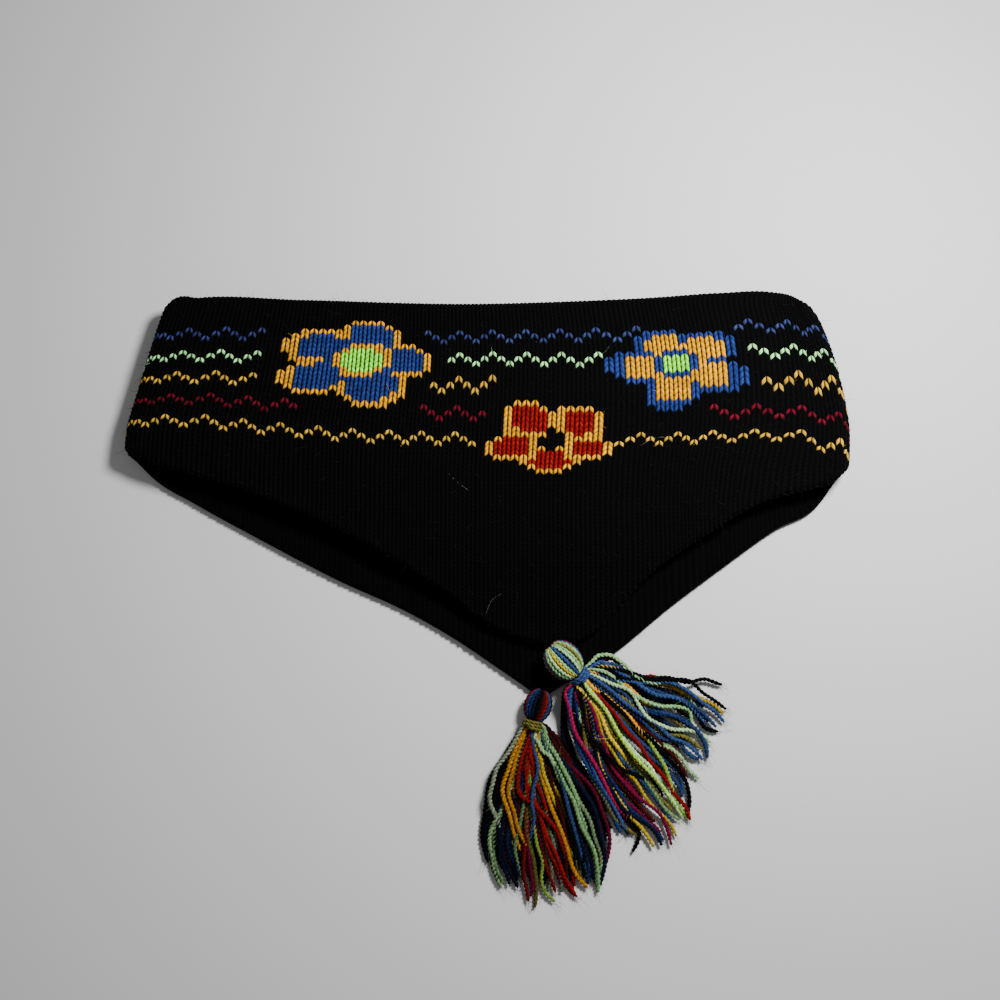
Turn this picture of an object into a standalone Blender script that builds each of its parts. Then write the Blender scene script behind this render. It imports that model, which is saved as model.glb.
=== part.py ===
"""Knitted ear warmer headband with two yarn tassels, laid flat on a surface.

The band is one closed loop of double knit. Laid flat it becomes two plies, one over the other,
joined by a rounded fold at each side. Its upper edge is nearly straight, and its lower edge
runs down to an ear flap. The two flaps lie over each other, each with a tassel on its tip.

Axes: +Z up from the surface, +X to the right and +Y towards the upper edge. The origin is
on the surface, under the middle of the whole piece. Lengths are in metres.
"""

import math

import bmesh
import bpy
import numpy as np
from mathutils import Matrix, Vector

# Driving sizes of the knit
WALL = 0.0034
PLY_GAP = 0.0052
TIP_SINK = 0.0044
SINK_FROM_Y = 0.016
SINK_TO_Y = -0.019
DENT_DEPTH = 0.0005

# Upper edge of both plies: x, y
UPPER_EDGE = (
    (-0.1172, 0.0945),
    (-0.1128, 0.1012),
    (-0.1028, 0.1026),
    (-0.0671, 0.1018),
    (-0.0029, 0.1003),
    (0.0256, 0.1011),
    (0.0577, 0.1026),
    (0.0827, 0.1044),
    (0.1010, 0.1047),
    (0.1085, 0.1031),
    (0.1135, 0.0995),
    (0.1180, 0.0930),
)

# Lower edge of the upper ply, whose flap carries the near tassel: x, y
NEAR_EDGE = (
    (-0.1275, 0.0478),
    (-0.1173, 0.0427),
    (-0.1010, 0.0378),
    (-0.0858, 0.0332),
    (-0.0647, 0.0250),
    (-0.0508, 0.0188),
    (-0.0369, 0.0115),
    (-0.0232, 0.0037),
    (-0.0129, -0.0032),
    (-0.0026, -0.0112),
    (0.0059, -0.0158),
    (0.0145, -0.0188),
    (0.0230, -0.0203),
    (0.0315, -0.0185),
    (0.0391, -0.0137),
    (0.0460, -0.0062),
    (0.0538, 0.0022),
    (0.0614, 0.0084),
    (0.0694, 0.0137),
    (0.0781, 0.0190),
    (0.0862, 0.0242),
    (0.0946, 0.0284),
    (0.1044, 0.0314),
    (0.1132, 0.0335),
    (0.1212, 0.0368),
    (0.1272, 0.0445),
)

# Lower edge of the ply underneath, whose flap carries the far tassel: x, y
FAR_EDGE = (
    (-0.1275, 0.0474),
    (-0.1179, 0.0380),
    (-0.1034, 0.0294),
    (-0.0792, 0.0163),
    (-0.0519, 0.0022),
    (-0.0280, -0.0086),
    (-0.0099, -0.0189),
    (0.0028, -0.0274),
    (0.0111, -0.0330),
    (0.0172, -0.0369),
    (0.0282, -0.0322),
    (0.0428, -0.0233),
    (0.0639, -0.0065),
    (0.0824, 0.0071),
    (0.1011, 0.0202),
    (0.1159, 0.0284),
    (0.1272, 0.0440),
)

# The two folded sides: y, x of the left fold, x of the right fold
SIDE_FOLDS = (
    (0.0400, -0.1275, 0.1262),
    (0.0480, -0.1275, 0.1270),
    (0.0553, -0.1272, 0.1273),
    (0.0662, -0.1248, 0.1262),
    (0.0791, -0.1217, 0.1238),
    (0.0900, -0.1190, 0.1206),
    (0.1000, -0.1162, 0.1166),
)

# How finely the loop is divided
PLY_COLUMNS = 26
FOLD_STEPS = 5
EDGE_ROW = 0.0020
INNER_ROWS = 4

# A dent across the upper ply: centre x, centre y, half length, half width
DENT = (-0.024, 0.047, 0.034, 0.006)

# Yarn and gap
YARN = 0.0019
CLEARANCE = 0.0003
LOCK_SIDES_RESOLUTION = 2
LOCK_POINTS = 9

# Tassel on the upper ply. The neck is where the tie sits, and the heading is the way the head
# points, in degrees from +X. Each lock: heading, length, sideways bow, radius, height over rest.
NEAR_TASSEL = {
    "neck": (0.0313, -0.0309, 0.0084),
    "heading": -44.5,
    "pitch": -11.0,
    "head": (0.0072, 0.0060, 0.0045),
    "neck_radius": 0.0027,
    "locks": (
        (-7, 0.049, 0.0036, 0.0026, 0.0004),
        (-15, 0.050, 0.0030, 0.0029, 0.0000),
        (-24, 0.050, 0.0020, 0.0030, 0.0000),
        (-33, 0.049, 0.0010, 0.0030, 0.0000),
        (-41, 0.051, 0.0000, 0.0030, 0.0000),
        (-48, 0.053, 0.0000, 0.0030, 0.0000),
        (-55, 0.057, 0.0005, 0.0030, 0.0000),
        (-62, 0.059, -0.0010, 0.0030, 0.0000),
        (-68, 0.056, -0.0030, 0.0029, 0.0000),
        (-75, 0.049, -0.0060, 0.0027, 0.0000),
        (-20, 0.041, 0.0020, 0.0026, 0.0036),
        (-37, 0.043, 0.0010, 0.0027, 0.0038),
        (-52, 0.046, 0.0000, 0.0027, 0.0038),
        (-65, 0.045, -0.0015, 0.0026, 0.0036),
    ),
}

# Tassel on the ply underneath
FAR_TASSEL = {
    "neck": (0.0151, -0.0468, 0.0048),
    "heading": -108.0,
    "pitch": 0.0,
    "head": (0.0058, 0.0047, 0.0036),
    "neck_radius": 0.0024,
    "locks": (
        (-109, 0.042, -0.0048, 0.0026, 0.0000),
        (-102, 0.051, -0.0045, 0.0027, 0.0000),
        (-96, 0.054, -0.0032, 0.0028, 0.0000),
        (-90, 0.056, -0.0020, 0.0028, 0.0000),
        (-84, 0.057, -0.0010, 0.0028, 0.0000),
        (-78, 0.055, 0.0002, 0.0028, 0.0000),
        (-72, 0.055, 0.0012, 0.0028, 0.0000),
        (-66, 0.053, 0.0022, 0.0027, 0.0000),
        (-60, 0.048, 0.0028, 0.0025, 0.0000),
        (-98, 0.044, -0.0025, 0.0026, 0.0036),
        (-86, 0.048, -0.0008, 0.0027, 0.0038),
        (-74, 0.045, 0.0010, 0.0026, 0.0036),
    ),
}


def clear_scene():
    for item in list(bpy.data.objects):
        bpy.data.objects.remove(item, do_unlink=True)


def new_collection(name):
    collection = bpy.data.collections.new(name)
    bpy.context.scene.collection.children.link(collection)
    return collection


def new_material(name, color, roughness):
    material = bpy.data.materials.new(name)
    material.use_nodes = True
    shader = material.node_tree.nodes["Principled BSDF"]
    shader.inputs["Base Color"].default_value = (*color, 1.0)
    shader.inputs["Roughness"].default_value = roughness
    shader.inputs["Metallic"].default_value = 0.0
    return material


def smooth_line(table, at):
    """Value of a smooth curve through a table's rows, with slopes taken from the neighbours."""
    knots, values = np.array(table).T
    slopes = np.gradient(values, knots)
    at = np.clip(at, knots[0], knots[-1])
    row = np.clip(np.searchsorted(knots, at) - 1, 0, len(knots) - 2)
    span = knots[row + 1] - knots[row]
    t = (at - knots[row]) / span
    rise = values[row + 1] - values[row]
    start, end = slopes[row] * span, slopes[row + 1] * span
    return values[row] + t * start + t**2 * (3 * rise - 2 * start - end) + t**3 * (start + end - 2 * rise)


def smooth_step(value, low, high):
    t = np.clip((value - low) / (high - low), 0.0, 1.0)
    return t * t * (3 - 2 * t)


def side_x(y):
    """Left and right x of the middle of the wall at a height y up the band."""
    left = smooth_line([(row[0], row[1]) for row in SIDE_FOLDS], y)
    right = smooth_line([(row[0], row[2]) for row in SIDE_FOLDS], y)
    return left + WALL / 2, right - WALL / 2


def across(y, share):
    """x at a share of the way from the left fold to the right fold."""
    left, right = side_x(y)
    return left + share * (right - left)


def edge_height(table, share):
    """y where the line at this share of the width meets an edge. Settles in a few rounds."""
    y = np.full_like(share, 0.05)
    for _ in range(8):
        y = smooth_line(table, across(y, share))
    return y


def loop_columns():
    """Share of the width and height of the wall's middle, once round the loop.

    The loop's section is a slot: two straight runs and a half circle at each fold.
    """
    radius = (WALL + PLY_GAP) / 2
    width = SIDE_FOLDS[2][2] - SIDE_FOLDS[2][1] - WALL
    turn = np.linspace(0, math.pi / 2, FOLD_STEPS)
    bend = radius * (1 - np.cos(turn)) / width
    flat = np.linspace(bend[-1], 1 - bend[-1], PLY_COLUMNS + 1)[1:-1]
    share = np.concatenate([bend, flat, (1 - bend)[::-1]])
    rise = np.sqrt(np.clip(1 - (1 - np.minimum(share, 1 - share) * width / radius) ** 2, 0, 1))
    rise[(share >= bend[-1]) & (share <= 1 - bend[-1])] = 1.0
    return share, rise * radius


def ply_height(x, y, lift, upper):
    """z of the wall's middle. The upper ply sinks towards its flap's tip and has one dent."""
    middle = WALL + PLY_GAP / 2
    if not upper:
        return middle - lift
    reach = lift / lift.max()
    sink = TIP_SINK * smooth_step(-y, -SINK_FROM_Y, -SINK_TO_Y)
    away = np.hypot((x - DENT[0]) / DENT[2], (y - DENT[1]) / DENT[3])
    dent = DENT_DEPTH * (1 - smooth_step(away, 0.0, 1.0))
    return middle + lift - reach * (sink + dent)


def ply_points(edge, upper):
    """Grid of points of one ply, a column for each place across and a row for each step down."""
    share, lift = loop_columns()
    top = edge_height(UPPER_EDGE, share)
    bottom = edge_height(edge, share)
    near_top, near_bottom = top - EDGE_ROW, bottom + EDGE_ROW
    steps = np.linspace(0, 1, INNER_ROWS + 1)[:, None]
    rows = np.vstack([top, near_top + steps * (near_bottom - near_top), bottom])
    x = across(rows, share[None, :])
    z = ply_height(x, rows, np.broadcast_to(lift, rows.shape), upper)
    return np.stack([x, rows, z], axis=-1)


def build_band(collection, material):
    """The loop as an open sheet of the wall's middle, thickened and rounded."""
    near = ply_points(NEAR_EDGE, True)
    far = ply_points(FAR_EDGE, False)
    grid = np.concatenate([near, far[:, -2:0:-1]], axis=1)
    for fold in (0, near.shape[1] - 1):
        other = far[:, 0] if fold == 0 else far[:, -1]
        grid[:, fold] = (near[:, fold] + other) / 2
    rows, columns = grid.shape[:2]
    index = np.arange(rows * columns).reshape(rows, columns)
    after = np.roll(index, -1, axis=1)
    faces = np.stack([index[:-1], index[1:], after[1:], after[:-1]], axis=-1).reshape(-1, 4)
    mesh = bpy.data.meshes.new("knit_band")
    mesh.from_pydata(grid.reshape(-1, 3).tolist(), [], faces.tolist())
    mesh.shade_smooth()
    band = bpy.data.objects.new("knit_band", mesh)
    collection.objects.link(band)
    band.data.materials.append(material)
    wall = band.modifiers.new("wall", "SOLIDIFY")
    wall.thickness = WALL
    wall.offset = 0.0
    wall.use_even_offset = True
    soften = band.modifiers.new("soften", "SUBSURF")
    soften.levels = 1
    soften.render_levels = 1
    return band


def heading_vector(heading, pitch=0.0):
    turn, tip = math.radians(heading), math.radians(pitch)
    return Vector((math.cos(turn) * math.cos(tip), math.sin(turn) * math.cos(tip), math.sin(tip)))


def along(direction):
    """Turn that carries +X onto a direction and keeps +Y level."""
    side = Vector((0, 0, 1)).cross(direction).normalized()
    up = direction.cross(side)
    return Matrix((direction, side, up)).transposed().to_4x4()


def add_ball(name, place, turn, radii):
    mesh = bpy.data.meshes.new(name)
    shape = bmesh.new()
    bmesh.ops.create_uvsphere(shape, u_segments=14, v_segments=8, radius=1.0)
    bmesh.ops.rotate(shape, verts=shape.verts, matrix=Matrix.Rotation(math.pi / 2, 3, "Y"))
    bmesh.ops.scale(shape, verts=shape.verts, vec=radii)
    bmesh.ops.transform(shape, verts=shape.verts, matrix=Matrix.Translation(place) @ turn)
    shape.to_mesh(mesh)
    shape.free()
    mesh.shade_smooth()
    return bpy.data.objects.new(name, mesh)


def lock_points(tassel, lock):
    """Middle line and radii of one lock, from inside the neck down to the surface."""
    heading, length, bow, radius, over = lock
    axis = heading_vector(tassel["heading"], tassel["pitch"])
    start = Vector(tassel["neck"]) + axis * 0.0014
    out = heading_vector(heading)
    side = Vector((-out.y, out.x, 0))
    rest = radius + CLEARANCE + over
    points = []
    for t in np.linspace(0, 1, LOCK_POINTS):
        spot = start + out * (length * t) + side * (bow * math.sin(math.pi * t))
        spot.z = start.z + (rest - start.z) * float(smooth_step(t, 0.02, 0.38))
        fullness = 0.42 + 0.58 * float(smooth_step(t, 0.0, 0.32))
        taper = 1.0 - 0.45 * float(smooth_step(t, 0.72, 1.0))
        points.append((spot, radius * fullness * taper))
    return points


def add_lock(name, points):
    """A lock is a tapered tube with filled ends, made a mesh and welded so that it can be joined."""
    curve = bpy.data.curves.new(name, "CURVE")
    curve.dimensions = "3D"
    curve.bevel_depth = 1.0
    curve.bevel_resolution = LOCK_SIDES_RESOLUTION
    curve.use_fill_caps = True
    spline = curve.splines.new("POLY")
    spline.points.add(len(points) - 1)
    for point, (spot, radius) in zip(spline.points, points):
        point.co = (*spot, 1.0)
        point.radius = radius
    tube = bpy.data.objects.new(name, curve)
    bpy.context.scene.collection.objects.link(tube)
    seen = tube.evaluated_get(bpy.context.evaluated_depsgraph_get())
    mesh = bpy.data.meshes.new_from_object(seen)
    lock = bpy.data.objects.new(name + "_solid", mesh)
    lock.matrix_world = tube.matrix_world
    bpy.data.objects.remove(tube, do_unlink=True)
    shape = bmesh.new()
    shape.from_mesh(mesh)
    bmesh.ops.remove_doubles(shape, verts=shape.verts, dist=0.00001)
    bmesh.ops.recalc_face_normals(shape, faces=shape.faces)
    shape.to_mesh(mesh)
    shape.free()
    return lock


def build_tassel(name, tassel, collection, helpers, material):
    """Head, neck and locks, joined into one body."""
    axis = heading_vector(tassel["heading"], tassel["pitch"])
    turn = along(axis)
    neck = Vector(tassel["neck"])
    head_place = neck - axis * (tassel["head"][0] + YARN / 2)
    head = add_ball(name, head_place, turn, tassel["head"])
    collection.objects.link(head)
    head.data.materials.append(material)
    radius = tassel["neck_radius"]
    joined = bpy.data.collections.new(name + "_locks")
    helpers.children.link(joined)
    members = [add_ball(name + "_neck", neck, turn, (0.0052, radius, radius))]
    for number, lock in enumerate(tassel["locks"], start=1):
        members.append(add_lock(f"{name}_lock_{number}", lock_points(tassel, lock)))
    for member in members:
        member.hide_render = True
        member.display_type = "WIRE"
        joined.objects.link(member)
    join = head.modifiers.new("join locks", "BOOLEAN")
    join.operation = "UNION"
    join.operand_type = "COLLECTION"
    join.collection = joined
    join.solver = "EXACT"
    join.use_self = True
    return head


def build_tie(name, tassel, collection, material):
    """The yarn wound round the neck, as one ring."""
    axis = heading_vector(tassel["heading"], tassel["pitch"])
    thickness = YARN / 2
    bpy.ops.mesh.primitive_torus_add(
        major_segments=20,
        minor_segments=8,
        major_radius=tassel["neck_radius"] + CLEARANCE + thickness,
        minor_radius=thickness,
    )
    tie = bpy.context.object
    tie.name = name
    tie.data.name = name
    tie.matrix_world = Matrix.Translation(tassel["neck"]) @ along(axis) @ Matrix.Rotation(math.pi / 2, 4, "Y")
    tie.data.shade_smooth()
    tie.data.materials.append(material)
    for owner in list(tie.users_collection):
        owner.objects.unlink(tie)
    collection.objects.link(tie)
    return tie


def build():
    clear_scene()
    parts = new_collection("ear_warmer_headband")
    helpers = new_collection("tassel_helpers")
    build_band(parts, new_material("black_knit_wool", (0.012, 0.012, 0.014), 0.95))
    near_yarn = new_material("near_tassel_yarn", (0.30, 0.36, 0.20), 0.85)
    far_yarn = new_material("far_tassel_yarn", (0.30, 0.16, 0.08), 0.85)
    near_tie_yarn = new_material("near_tie_yarn", (0.10, 0.25, 0.35), 0.85)
    far_tie_yarn = new_material("far_tie_yarn", (0.45, 0.50, 0.12), 0.85)
    build_tassel("near_tassel", NEAR_TASSEL, parts, helpers, near_yarn)
    build_tie("near_tassel_tie", NEAR_TASSEL, parts, near_tie_yarn)
    build_tassel("far_tassel", FAR_TASSEL, parts, helpers, far_yarn)
    build_tie("far_tassel_tie", FAR_TASSEL, parts, far_tie_yarn)


build()
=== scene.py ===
# %% [markdown]
# # A knitted ear warmer headband, laid flat
#
# The real thing is a loop of black wool, knitted double, with three flowers and five zigzag lines
# worked in coloured yarn. Laid on a table, its two sides lie over each other as two plies. Each ply
# runs down to an ear flap, and a yarn tassel hangs from each flap's tip. This notebook dresses the
# plain solids in stitches and strands. Lengths are in metres, +Z is up from the table, and +Y
# points to the upper edge.

# %% Load the solids
import math

import bpy
import numpy as np
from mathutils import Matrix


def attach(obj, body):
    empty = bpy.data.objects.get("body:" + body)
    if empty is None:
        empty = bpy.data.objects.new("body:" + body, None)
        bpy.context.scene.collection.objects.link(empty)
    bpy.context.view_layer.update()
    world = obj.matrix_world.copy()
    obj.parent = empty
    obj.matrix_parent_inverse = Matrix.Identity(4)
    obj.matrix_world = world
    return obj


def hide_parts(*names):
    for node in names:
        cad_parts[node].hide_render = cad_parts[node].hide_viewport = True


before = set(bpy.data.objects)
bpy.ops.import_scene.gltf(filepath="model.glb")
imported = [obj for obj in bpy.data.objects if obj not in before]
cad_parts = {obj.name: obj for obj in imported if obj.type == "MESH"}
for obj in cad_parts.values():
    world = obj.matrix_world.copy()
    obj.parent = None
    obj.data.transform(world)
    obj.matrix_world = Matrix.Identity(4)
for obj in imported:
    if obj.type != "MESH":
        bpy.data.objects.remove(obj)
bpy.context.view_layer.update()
print("solids:", sorted(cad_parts))

# %% [markdown]
# ## Looking at it
#
# The photograph is taken from almost straight above, so the camera stands at 80 degrees and close
# by. A short lens near the object makes the tassels and the top edge spread a little, and that
# small spread is part of the likeness.

# %% Camera
LENS_MM = 40.0
CAMERA_REACH = 0.386
CAMERA_RISE = math.radians(80)
TARGET = (0.0042, 0.0298, 0.0080)

lens = bpy.data.cameras.new("camera")
lens.lens = LENS_MM
lens.sensor_width = 36.0
lens.clip_start = 0.01
camera = bpy.data.objects.new("camera", lens)
camera.location = (
    TARGET[0],
    TARGET[1] - CAMERA_REACH * math.cos(CAMERA_RISE),
    TARGET[2] + CAMERA_REACH * math.sin(CAMERA_RISE),
)
camera.rotation_euler = (math.pi / 2 - CAMERA_RISE, 0, 0)
bpy.context.scene.collection.objects.link(camera)
bpy.context.scene.camera = camera
print("camera at", [round(value, 3) for value in camera.location])

# %% [markdown]
# ## Arrays into meshes
#
# Every surface here is worked out as a whole grid of points. The grid becomes triangles, points
# that fall on each other are welded, and triangles that have no area left are dropped. Tube ends
# and clipped rows close themselves that way, because a ring of points that has shrunk to nothing
# becomes one pole. Each piece is then tied to the body, and the solid that it replaces is hidden.

# %% Grid to mesh
WELD = 2e-6


def grid_triangles(points, ring=False):
    """Triangles of a grid of points (rows, columns, 3). A ring joins its last column to its first."""
    rows, columns = points.shape[:2]
    index = np.arange(rows * columns).reshape(rows, columns)
    after = np.roll(index, -1, axis=1)
    if not ring:
        index, after = index[:, :-1], after[:, :-1]
    corners = [index[:-1], index[1:], after[1:], after[:-1]]
    first = np.stack([corners[0], corners[1], corners[2]], axis=-1)
    second = np.stack([corners[0], corners[2], corners[3]], axis=-1)
    return np.stack([first, second], axis=2).reshape(-1, 3)


def weld(points, triangles):
    """Points that share a place become one, and triangles without area go. Returns what is left,
    which triangles are whole and which points are kept."""
    cell = np.round(points / WELD).astype(np.int64)
    _, keep, new = np.unique(cell, axis=0, return_index=True, return_inverse=True)
    triangles = new.reshape(-1)[triangles]
    a, b, c = triangles.T
    whole = (a != b) & (b != c) & (c != a)
    return points[keep], triangles[whole], whole, keep


def mesh_object(name, points, triangles, colours, node, uv=None, hollow=None):
    """A smooth welded object at the origin, tied to the body, which dresses and hides a node of the
    solids.

    It has a colour for each face, and for knit a UV for each corner and how deep in a groove each
    point lies, from 0 to 1, which the knitted wool turns into painted shade. Returns the object, its
    points, its triangles and their colours.
    """
    points, triangles, whole, keep = weld(points, triangles)
    colours = colours[whole]
    mesh = bpy.data.meshes.new(name)
    mesh.vertices.add(len(points))
    mesh.vertices.foreach_set("co", points.astype(np.float32).ravel())
    mesh.loops.add(triangles.size)
    mesh.loops.foreach_set("vertex_index", triangles.astype(np.int32).ravel())
    mesh.polygons.add(len(triangles))
    mesh.polygons.foreach_set("loop_start", np.arange(0, triangles.size, 3, dtype=np.int32))
    rgba = np.ones((len(triangles), 4), dtype=np.float32)
    rgba[:, :3] = colours
    layer = mesh.attributes.new("yarn_colour", "FLOAT_COLOR", "FACE")
    layer.data.foreach_set("color", rgba.ravel())
    if uv is not None:
        layer = mesh.uv_layers.new(name="strand")
        layer.data.foreach_set("uv", uv[whole].astype(np.float32).ravel())
    if hollow is not None:
        layer = mesh.attributes.new("hollow", "FLOAT", "POINT")
        layer.data.foreach_set("value", hollow[keep].astype(np.float32).ravel())
    mesh.update(calc_edges=True)
    mesh.shade_smooth()
    made = bpy.data.objects.new(name, mesh)
    bpy.context.scene.collection.objects.link(made)
    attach(made, "root")
    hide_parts(node)
    print(f"{name}: {len(triangles)} triangles")
    return made, points, triangles, colours


# %% [markdown]
# ## Yarn colours
#
# The wool is dyed in a few plain colours. Hex values are easy to compare with a colour card, and
# one function turns them into the linear values that the renderer works with.

# %% Palette
def linear(hex_colour):
    """sRGB hex to linear: below 0.04045 it is divided by 12.92, above that it is a 2.4 power."""
    value = np.array([int(hex_colour[i : i + 2], 16) for i in (1, 3, 5)]) / 255
    return np.where(value <= 0.04045, value / 12.92, ((value + 0.055) / 1.055) ** 2.4)


YARN_COLOURS = {
    ".": "#030304",
    "B": "#223472",
    "G": "#df9a00",
    "L": "#8eff3e",
    "R": "#820e08",
    "b": "#2e3762",
    "l": "#a8e89c",
    "g": "#c89e34",
    "c": "#5e0a1e",
}
PALETTE = np.array([linear(colour) for colour in YARN_COLOURS.values()])
CODE = {letter: number for number, letter in enumerate(YARN_COLOURS)}
print("yarns:", ", ".join(YARN_COLOURS.values()))

# %% [markdown]
# ## The shape of the two plies
#
# The loop's outline is read at a few places and joined by smooth curves, as a pattern cutter does
# with a flexible ruler. Across the loop the wall turns round each side in a half circle, and at the
# upper and lower edge it ends in a rim as round as the wall is thick.

# %% Outline of the plies
WALL = 0.0034
PLY_GAP = 0.0052
FOLD_RADIUS = (WALL + PLY_GAP) / 2
TIP_SINK = 0.0044
SINK_FROM_Y = 0.016
SINK_TO_Y = -0.019
DENT_DEPTH = 0.0005
LOOP_WIDTH = 0.2511

# A dent across the upper ply: centre x, centre y, half length, half width
DENT = (-0.024, 0.047, 0.034, 0.006)


def read_places(text):
    """Rows of numbers from text such as: 590,667 598,657."""
    return np.array([place.split(",") for place in text.split()], dtype=float)


# Edges as x,y in mm: the upper one of both plies, and the lower ones of the upper and the lower ply
UPPER_EDGE = read_places("""
-117.2,94.5 -112.8,101.2 -102.8,102.6 -67.1,101.8 -2.9,100.3 25.6,101.1 57.7,102.6 82.7,104.4
101,104.7 108.5,103.1 113.5,99.5 118,93
""") / 1000
NEAR_EDGE = read_places("""
-127.5,47.8 -117.3,42.7 -101,37.8 -85.8,33.2 -64.7,25 -50.8,18.8 -36.9,11.5 -23.2,3.7 -12.9,-3.2
-2.6,-11.2 5.9,-15.8 14.5,-18.8 23,-20.3 31.5,-18.5 39.1,-13.7 46,-6.2 53.8,2.2 61.4,8.4 69.4,13.7
78.1,19 86.2,24.2 94.6,28.4 104.4,31.4 113.2,33.5 121.2,36.8 127.2,44.5
""") / 1000
FAR_EDGE = read_places("""
-127.5,47.4 -117.9,38 -103.4,29.4 -79.2,16.3 -51.9,2.2 -28,-8.6 -9.9,-18.9 2.8,-27.4 11.1,-33
17.2,-36.9 28.2,-32.2 42.8,-23.3 63.9,-6.5 82.4,7.1 101.1,20.2 115.9,28.4 127.2,44
""") / 1000

# The two folds in mm: y, x of the left one, x of the right one
SIDE_FOLDS = read_places("""
40,-127.5,126.2 48,-127.5,127 55.3,-127.2,127.3 66.2,-124.8,126.2 79.1,-121.7,123.8 90,-119,120.6
100,-116.2,116.6
""") / 1000


def smooth_line(table, at):
    """Cubic curve through a table's rows, with slopes taken from the neighbours."""
    knots, values = np.array(table).T
    slopes = np.gradient(values, knots)
    at = np.clip(at, knots[0], knots[-1])
    row = np.clip(np.searchsorted(knots, at) - 1, 0, len(knots) - 2)
    span = knots[row + 1] - knots[row]
    t = (at - knots[row]) / span
    rise = values[row + 1] - values[row]
    start, end = slopes[row] * span, slopes[row + 1] * span
    bent = t**2 * (3 * rise - 2 * start - end) + t**3 * (start + end - 2 * rise)
    return values[row] + t * start + bent


def smooth_step(value, low, high):
    """0 below low, 1 above high, and 3t^2 - 2t^3 between them."""
    t = np.clip((value - low) / (high - low), 0.0, 1.0)
    return t * t * (3 - 2 * t)


def across(y, share):
    """x at a share of the way from the left fold to the right fold."""
    left = smooth_line(SIDE_FOLDS[:, :2], y) + WALL / 2
    right = smooth_line(SIDE_FOLDS[:, ::2], y) - WALL / 2
    return left + share * (right - left)


def edge_height(table, share, first_guess=0.05, rounds=8):
    """y where the line at this share of the width meets an edge, by rounds of substitution."""
    y = np.full_like(share, first_guess)
    for _ in range(rounds):
        y = smooth_line(table, across(y, share))
    return y


def wall_middle_z(x, y, lift, upper):
    """z of the wall's middle: a wall and half a gap over the table, plus or minus the lift. The
    upper ply also sinks towards its tip and in a dent, by as much of them as it is lifted."""
    middle = WALL + PLY_GAP / 2
    if not upper:
        return middle - lift
    sink = TIP_SINK * smooth_step(-y, -SINK_FROM_Y, -SINK_TO_Y)
    away = np.hypot((x - DENT[0]) / DENT[2], (y - DENT[1]) / DENT[3])
    dent = DENT_DEPTH * (1 - smooth_step(away, 0.0, 1.0))
    return middle + lift - lift / FOLD_RADIUS * (sink + dent)


# %% [markdown]
# ## Where each stitch sits
#
# Knitting is a grid that has been pulled about. Wales are its columns and rows its courses. Each
# ply has 80 wales, and about 50 rows on average, counted on the photograph against the width of
# the band: 3.2 mm a wale and 1.6 to 1.8 mm a row. Two small tables say how far the grid has been
# pulled: where each wale crosses the band, and how deep each row lies under the upper edge.

# %% Stitch grid
FIRST_WALE = -1.5
MIDDLE_WALE = 38.5
LAST_WALE = 78.5
FOLD_WALES = 2.9

# A wale and its place across the flat width, in 78ths of it
WIDTH_UNITS = 78.0
WALE_PLACES = (
    (1.4, 1.338), (4, 3.85), (8, 8.2), (12, 12.4), (16, 16.45), (20, 20.57), (24, 24.25), (28, 28.27),
    (32, 31.8), (36, 35.45), (40, 39.2), (44, 43.05), (48, 46.95), (52, 51.1), (56, 55.8),
    (60, 59.85), (64, 63.85), (68, 68.6), (72, 73.45), (75.6, 76.662),
)

# A wale and how far it leans over 22 rows, in the same units, about row 17
WALE_SLANT = ((1.4, 0.0), (24, 0.25), (40, 0.0), (60, -0.7), (68, -1.8), (71, -1.6), (75.6, 0.0))
SLANT_ROWS = 22.0
SLANT_PIVOT_ROW = 17.0
SLANT_LIMITS = (-0.8, 1.2)

# A row and its depth under the upper edge in mm, at each share of the width
ROW_SHARES = (0.08, 0.30, 0.50, 0.75, 0.93, 0.965, 1.0)
ROW_DEPTHS_MM = {
    0: (1.2, 0.6, 0.0, 0.5, 0.3, 0.3, 0.3),
    6: (10.9, 10.1, 9.4, 9.8, 9.7, 9.5, 7.6),
    11: (19.3, 18.9, 17.4, 19.4, 18.7, 18.5, 16.0),
    16: (26.9, 27.4, 25.7, 29.2, 28.2, 28.0, 25.2),
    21: (35.0, 35.9, 36.9, 39.1, 41.0, 41.6, 38.8),
    26: (42.4, 45.8, 46.4, 48.8, 50.1, 50.8, 48.0),
    28: (45.7, 49.1, 49.7, 51.9, 53.1, 55.6, 52.6),
    34: (55.6, 59.0, 59.7, 61.3, 62.2, 65.5, 62.5),
    94: (145.6, 149.0, 149.7, 151.3, 152.2, 155.5, 152.5),
}

# How many rows a stitch's sides lie under its peak
CHEVRON = 0.8
RIM = WALL / 2
QUARTER_RIM = RIM * math.pi / 2


def fold_turn(wale):
    """Angle from the fold's outermost line, 0 there and a quarter turn where the ply lies flat."""
    from_left = (wale - FIRST_WALE) / FOLD_WALES
    from_right = (LAST_WALE - wale) / FOLD_WALES
    return np.clip(np.minimum(from_left, from_right), 0, 1) * math.pi / 2


def wale_share(wale, row, slants):
    """Share of the width at a wale and row: round the fold R(1 - cos turn), then by the table."""
    turn = fold_turn(wale)
    bend = FOLD_RADIUS * (1 - np.cos(turn)) / LOOP_WIDTH
    bend = np.where(wale < MIDDLE_WALE, bend, 1 - bend)
    slant = np.interp(wale, *np.array(slants).T)
    pull = np.clip((row - SLANT_PIVOT_ROW) / SLANT_ROWS, *SLANT_LIMITS)
    flat = (smooth_line(WALE_PLACES, wale) + slant * pull) / WIDTH_UNITS
    return np.where(turn < math.pi / 2 - 1e-9, bend, flat)


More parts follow.
